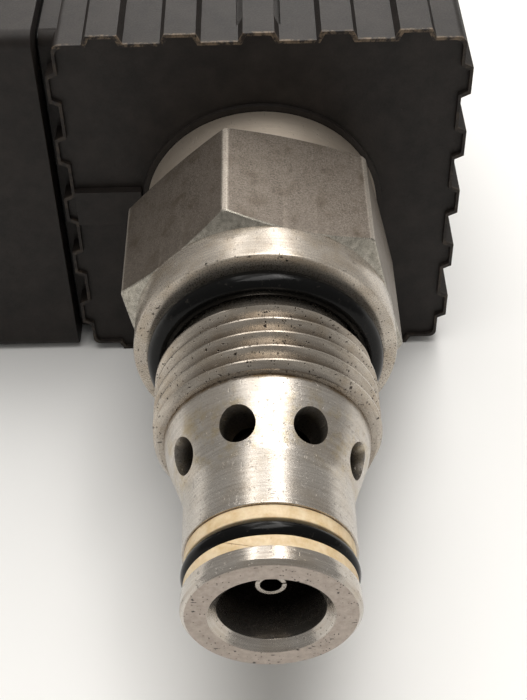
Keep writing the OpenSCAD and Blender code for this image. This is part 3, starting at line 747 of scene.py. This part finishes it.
def make_o_ring(node, name, wobble=0.03):
    """An O-ring with a faint parting line round it, not quite even."""
    low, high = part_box(node)
    outside = high.x / MM
    section = (high.y - low.y) / MM / 2
    middle_s = ((low.y + high.y) / 2 - NOSE_Y) / MM
    middle_r = outside - section
    rows = []
    count = 40
    for k in range(count):
        angle = 2 * math.pi * k / count

        def place(turn, angle=angle):
            a = math.radians(turn)
            ripple = noise.noise(Vector((math.sin(a) * 3, math.cos(a) * 3, 1.0))) * wobble
            flash = 0.03 * math.exp(-(math.sin(angle) * 9) ** 2)
            size = section + flash * 0.5 + ripple * 0.4 - wobble * 0.4
            return (middle_r + size * math.cos(angle), middle_s + size * math.sin(angle) + ripple * 0.5)
        rows.append(place)
    ring = ring_surface(name, rows, even_turns(192), sharp=180)
    return dress(ring, node)


def make_backup_ring(node, name, cut_turn):
    """A flat ring cut through on a slant, with its ends a hair apart."""
    low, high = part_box(node)
    s0 = (low.y - NOSE_Y) / MM
    s1 = (high.y - NOSE_Y) / MM
    outside = high.x / MM
    inside = 6.32
    section = rounded([(inside, s0), (outside, s0), (outside, s1), (inside, s1)], 0.12)
    slant = -22.0
    opening = 0.45
    shrink = 0.02                         # keeps its uneven sides inside the CAD ring
    steps = 200
    bm = bmesh.new()
    loops = []
    for i in range(steps + 1):
        u = i / steps
        loop = []
        for r, s in section:
            lean = slant * (s - (s0 + s1) / 2) / (s1 - s0)
            turn = cut_turn + lean + opening + u * (360 - 2 * opening)
            a = math.radians(turn)
            ripple = 0.035 * noise.noise(Vector((math.cos(a) * 2.5, math.sin(a) * 2.5, s0)))
            upper = 1 if s > (s0 + s1) / 2 else -1
            loop.append(bm.verts.new(at(r + ripple * 0.5 - shrink, turn, s + upper * (ripple - shrink))))
        loops.append(loop)
    count = len(section)
    for one, two in zip(loops, loops[1:]):
        for k in range(count):
            bm.faces.new((one[k], one[(k + 1) % count], two[(k + 1) % count], two[k]))
    bm.faces.new(loops[0])
    bm.faces.new(loops[-1][::-1])
    ring = finish_mesh(bm, name)
    return dress(ring, node)


def make_spring(node, name, turns=6):
    """A wound wire spring, whose end turns lie flat."""
    low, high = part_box(node)
    wire = 0.5 if node == "armature_spring" else 0.35
    middle_r = (high.x - low.x) / MM / 2 - wire
    s0 = (low.y - NOSE_Y) / MM + wire
    s1 = (high.y - NOSE_Y) / MM - wire
    steps, sides = turns * 48, 14
    flat = 0.8 / turns
    bm = bmesh.new()
    loops = []
    for i in range(steps + 1):
        u = i / steps
        rise = min(max((u - flat) / (1 - 2 * flat), 0), 1)
        climb = s0 + (s1 - s0) * (rise + 0.06 * (u - rise))
        loop = []
        for k in range(sides):
            a = 2 * math.pi * k / sides
            place = at(middle_r + wire * math.cos(a), 360 * turns * u, climb + wire * math.sin(a))
            loop.append(bm.verts.new(place))
        loops.append(loop)
    for one, two in zip(loops, loops[1:]):
        for k in range(sides):
            bm.faces.new((one[k], one[(k + 1) % sides], two[(k + 1) % sides], two[k]))
    bm.faces.new(loops[0])
    bm.faces.new(loops[-1][::-1])
    spring = dress(finish_mesh(bm, name), node)
    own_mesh(spring)


def dress_cad_nodes():
    """Every CAD node that stays on show gets its material."""
    for node, obj in frame["nodes"].items():
        if obj.hide_render:
            continue
        obj.data.materials.clear()
        obj.data.materials.append(MATERIALS[SLOT_OF[node]])


make_cage()
make_hex_adapter()
make_o_ring("seat_o_ring", "seat_o_ring_seal")
make_o_ring("nose_o_ring", "nose_o_ring_seal")
make_backup_ring("lower_backup_ring", "lower_backup_band", -20)
make_backup_ring("upper_backup_ring", "upper_backup_band", 150)
dress(softened("coil_housing", "coil_moulding", 0.25), "coil_housing")
dress(softened("terminal_box", "terminal_box_shell", 0.4), "terminal_box")
dress(softened("box_lid", "terminal_box_lid", 0.5), "box_lid")
for node, name, width in (
    ("coil_nut", "coil_nut_hex", 0.25), ("tube_plug", "tube_end_plug", 0.08),
    ("lid_screws", "lid_screw_set", 0.12), ("poppet_nozzle", "poppet_nozzle_tube", 0.05),
    ("main_poppet", "main_poppet_body", 0.08), ("neck_gasket", "neck_gasket_pad", 0.08),
    ("core_tube", "core_tube_sleeve", 0.06),
):
    dress(softened(node, name, width), node)
for node in ("tube_o_ring", "coil_o_ring", "nut_o_ring"):
    make_o_ring(node, node + "_seal")
for joint in frame["record"]["behaviour"]["joints"]:
    if joint["name"] == "armature_stroke":
        make_spring("armature_spring", "armature_return_spring")
    if joint["name"] == "poppet_lift":
        make_spring("main_spring", "main_poppet_spring")
dress_cad_nodes()


# =====================================================================
# Stage
# =====================================================================
def make_floor():
    half_width = 2.0
    bm = bmesh.new()
    bmesh.ops.create_grid(bm, x_segments=1, y_segments=1, size=half_width)
    mesh = bpy.data.meshes.new("floor")
    bm.to_mesh(mesh)
    bm.free()
    floor = new_object("floor", mesh)
    floor.location = (0, 0, cad_low.z - 0.0001)
    p = Paint("floor_paint")
    p.set(Base_Color=(0.86, 0.86, 0.85, 1), Roughness=0.9)
    mesh.materials.append(p.material)


def add_light(name, place, target, size, watts, colour=(1, 1, 1)):
    data = bpy.data.lights.new(name, "AREA")
    data.shape = "RECTANGLE"
    data.size, data.size_y = size
    data.energy = watts
    data.color = colour
    light = bpy.data.objects.new(name, data)
    bpy.context.scene.collection.objects.link(light)
    light.location = place
    light.rotation_euler = (Vector(target) - Vector(place)).to_track_quat("-Z", "Y").to_euler()
    return light


def strip_light(name, side, reach, size, watts, colour=(1, 1, 1)):
    """A strip behind and above the valve, whose long side runs over it; side is its angle from the top."""
    a = math.radians(side)
    direction = Vector((math.sin(a), 1, math.cos(a))).normalized()
    light = add_light(name, direction * reach, (0, 0, 0), size, watts, colour)
    long_way = Vector((math.sin(a), -1, math.cos(a))).normalized()
    turn = Matrix((long_way.cross(direction), long_way, direction)).transposed()
    light.rotation_euler = turn.to_euler()
    return light


def make_lights():
    middle = (0, 0, 0)
    strip_light("strip_left", -21, 0.6, (0.05, 0.9), 0.42, (1, 0.98, 0.96))
    strip_light("strip_right", 13, 0.6, (0.06, 0.9), 0.95, (1, 0.97, 0.94))
    strip_light("glow", -2, 0.9, (0.75, 1.4), 4.2, (1, 0.96, 0.91))
    add_light("overhead", (0.04, 0.05, 1.0), middle, (0.45, 0.9), 6.5, (1, 0.98, 0.95))
    world = bpy.data.worlds.new("room")
    world.use_nodes = True
    nodes, links = world.node_tree.nodes, world.node_tree.links
    room = nodes["Background"]
    room.inputs["Color"].default_value = (1.0, 0.98, 0.95, 1)
    room.inputs["Strength"].default_value = 0.34
    backdrop = nodes.new("ShaderNodeBackground")
    backdrop.inputs["Color"].default_value = (0.95, 0.95, 0.94, 1)
    path = nodes.new("ShaderNodeLightPath")
    either = nodes.new("ShaderNodeMixShader")
    links.new(path.outputs["Is Camera Ray"], either.inputs["Fac"])
    links.new(room.outputs[0], either.inputs[1])
    links.new(backdrop.outputs[0], either.inputs[2])
    links.new(either.outputs[0], nodes["World Output"].inputs["Surface"])
    bpy.context.scene.world = world


def make_camera():
    """The photograph's view: from the nose, 45 degrees above it, with a slight roll."""
    data = bpy.data.cameras.new("camera")
    data.sensor_width = 36
    data.lens = 66.86
    camera = bpy.data.objects.new("camera", data)
    bpy.context.scene.collection.objects.link(camera)
    elevation, roll = 45.0, -1.25
    tilt = Matrix.Rotation(math.radians(90 - elevation), 4, "X")
    turn = tilt @ Matrix.Rotation(math.radians(roll), 4, "Z")
    camera.matrix_world = Matrix.Translation(Vector((-0.2, -94.2, 94.8)) * MM) @ turn
    data.clip_start = 0.005
    bpy.context.scene.camera = camera


make_floor()
make_lights()
make_camera()
bpy.context.scene.view_settings.view_transform = "Standard"
